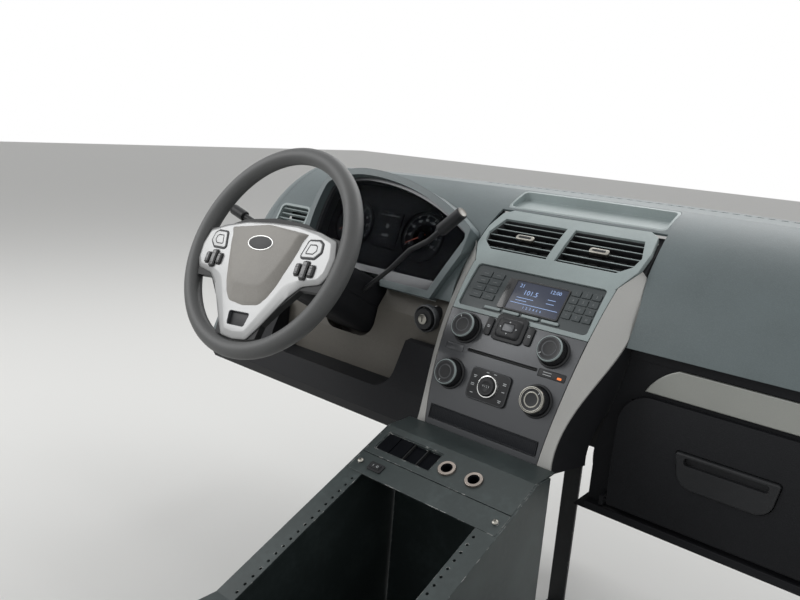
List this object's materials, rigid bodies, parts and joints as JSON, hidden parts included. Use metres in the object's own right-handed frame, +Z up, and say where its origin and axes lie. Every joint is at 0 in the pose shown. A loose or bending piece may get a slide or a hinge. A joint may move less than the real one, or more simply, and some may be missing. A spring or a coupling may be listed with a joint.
{
  "type": "vehicle dashboard with steering wheel and equipment console",
  "caption": "Patrol car cockpit: dash on its cross-car beam, tilting column and wheel, centre stack, glovebox and a sheet-metal equipment console.",
  "frame": {"origin": "centre of the four bolts that hold the cross-car beam to the body, in the plane of its end flanges", "axes": "+X to the car's right-hand door, +Y towards the nose, square to the flanges, +Z up"},
  "size_m": [1.4768, 1.1668, 0.7606],
  "materials": {
    "dash_grain": "fine leather grain",
    "lower_grain": "fine grain",
    "panel_dark": "satin",
    "bezel_grey": "satin",
    "satin_silver": "satin silver paint",
    "knob_black": "semi gloss",
    "screen_navy": "gloss",
    "lens": "clear",
    "rim_black": "fine grain",
    "cover_grey": "fine grain",
    "console_paint": "powder coat",
    "beam_paint": "satin",
    "zinc_steel": "zinc plate",
    "socket_chrome": "polished",
    "mat_rubber": "matt",
    "case_black": "matt",
    "dial_black": "matt"
  },
  "bodies": {
    "dashboard": {"cross_beam": "beam_paint", "centre_braces": "beam_paint", "heater_unit": "case_black", "dash_pad": "dash_grain", "top_tray": "bezel_grey", "defroster_grille": "dash_grain", "gauge_hood": "dash_grain", "gauge_bezel": "panel_dark", "gauge_lens": "lens", "instrument_cluster": "dial_black", "side_vent_left": "bezel_grey", "side_vent_right": "bezel_grey", "stack_frame": "lower_grain", "stack_trim_left": "satin_silver", "stack_trim_right": "satin_silver", "control_panel": "panel_dark", "tray_mat": "mat_rubber", "radio_panel": "panel_dark", "radio_screen": "screen_navy", "vent_bezel": "bezel_grey", "centre_vent_left": "panel_dark", "centre_vent_right": "panel_dark", "knob_upper_left": "knob_black", "knob_upper_right": "knob_black", "knob_lower_left": "knob_black", "knob_lower_right": "knob_black", "radio_rocker": "knob_black", "climate_dial": "knob_black", "column_panel": "lower_grain", "knee_panel": "lower_grain", "ignition_lock": "zinc_steel", "passenger_carrier": "lower_grain", "trim_strip": "satin_silver", "glovebox_bin": "case_black", "end_cap_left": "dash_grain", "end_cap_right": "dash_grain", "console_side_left": "console_paint", "console_side_right": "console_paint", "console_plate": "console_paint", "switch_blank": "knob_black", "power_sockets": "socket_chrome", "console_face": "console_paint", "rocker_switch": "knob_black", "console_rear": "console_paint", "console_floor": "console_paint"},
    "column": {"column_jacket": "zinc_steel", "shroud_upper": "lower_grain", "shroud_lower": "lower_grain", "shift_lever": "knob_black", "turn_stalk": "knob_black", "tilt_lever": "knob_black"},
    "steering_wheel": {"wheel_frame": "case_black", "wheel_rim": "rim_black", "spoke_bezel": "satin_silver", "airbag_cover": "cover_grey", "wheel_switches_left": "knob_black", "wheel_switches_right": "knob_black"},
    "glovebox": {"glovebox_door": "lower_grain", "glovebox_latch": "knob_black"}
  },
  "joints": [
    {"name": "column_tilt", "type": "hinge", "parent": "dashboard", "child": "column", "pos_m": [-0.377, -0.15063, -0.08393], "axis": [1, 0, 0], "range_deg": [-2.5, 2.5]},
    {"name": "steering", "type": "hinge", "parent": "column", "child": "steering_wheel", "pos_m": [-0.377, -0.442, 0.071], "axis": [0, -0.8829, 0.4695], "range_deg": [-490, 480]},
    {"name": "glovebox_hinge", "type": "hinge", "parent": "dashboard", "child": "glovebox", "pos_m": [0.386, -0.2, -0.252], "axis": [1, 0, 0], "range_deg": [0, 50]}
  ]
}
